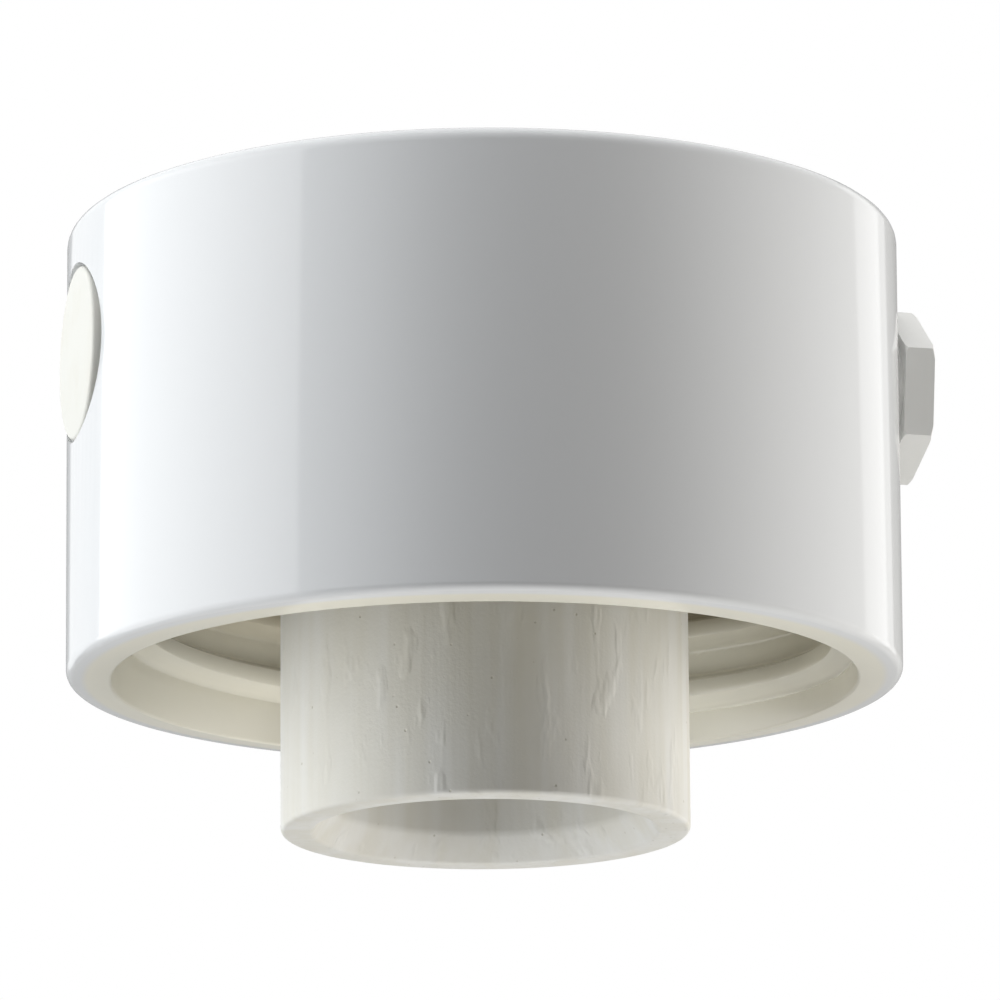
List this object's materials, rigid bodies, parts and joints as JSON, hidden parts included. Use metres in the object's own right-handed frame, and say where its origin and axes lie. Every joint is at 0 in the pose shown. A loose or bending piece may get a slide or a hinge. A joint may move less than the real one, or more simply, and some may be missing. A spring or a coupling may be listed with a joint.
{
  "type": "batten lamp holder",
  "caption": "Straight porcelain ceiling base with an E27 screw socket in a central tube, a coarse thread for a glass globe and side cable entries.",
  "frame": {"origin": "centre of the ceiling face, where the axis of the drum meets it", "axes": "+Z out of the ceiling face along the drum's axis, so the holder hangs along -Z; +X towards the cable gland, -X towards the blanking plug"},
  "size_m": [0.1052, 0.1012, 0.0737],
  "materials": {
    "glazed_porcelain": "white glaze over porcelain, unglazed rims",
    "bisque_porcelain": "unglazed fired porcelain, fine pits",
    "steatite": "unglazed pressed steatite",
    "cream_plastic": "soft moulded, matt",
    "grey_plastic": "moulded, satin",
    "silicone": "translucent white silicone",
    "black_rubber": "matt",
    "nickelled_brass": "nickel plate, drawn",
    "brass": "turned, bright",
    "spring_steel": "drawn wire",
    "zinc_steel": "zinc plated"
  },
  "bodies": {
    "base": {"porcelain_housing": "glazed_porcelain", "glass_gasket": "silicone", "ceiling_screw_seals": "black_rubber", "blanking_plug": "cream_plastic", "gland_seal": "black_rubber", "holder_sleeve": "bisque_porcelain", "contact_carrier": "steatite", "screw_shell": "nickelled_brass", "shell_rivets": "brass", "contact_guide": "brass", "contact_spring": "spring_steel", "live_terminal": "brass", "neutral_terminal": "brass", "terminal_screws": "zinc_steel", "earth_terminal": "brass", "earth_screw": "zinc_steel", "holder_screws": "zinc_steel", "holder_washers": "zinc_steel", "holder_nuts": "zinc_steel"},
    "contact_plunger": {"centre_contact": "brass", "contact_retainer": "spring_steel"},
    "thrust_ring": {"gland_thrust_ring": "grey_plastic"},
    "compression_nut": {"gland_nut": "grey_plastic"}
  },
  "joints": [
    {"name": "centre_contact_slide", "type": "slide", "parent": "base", "child": "contact_plunger", "axis": [0, 0, 1], "range_m": [0, 0.0018], "stiffness_N_per_m": 1500, "springref_m": -0.0006, "deforming": ["contact_spring"]},
    {"name": "thrust_ring_slide", "type": "slide", "parent": "base", "child": "thrust_ring", "axis": [1, 0, 0], "range_m": [0, 0.003]},
    {"name": "compression_nut_turn", "type": "hinge", "parent": "thrust_ring", "child": "compression_nut", "pos_m": [0.0509, 0, -0.0171], "axis": [1, 0, 0], "range_deg": [0, 720]}
  ],
  "couplings": [
    {"joint": "thrust_ring_slide", "follows": "compression_nut_turn", "m_per_rad": 0.00023873}
  ]
}
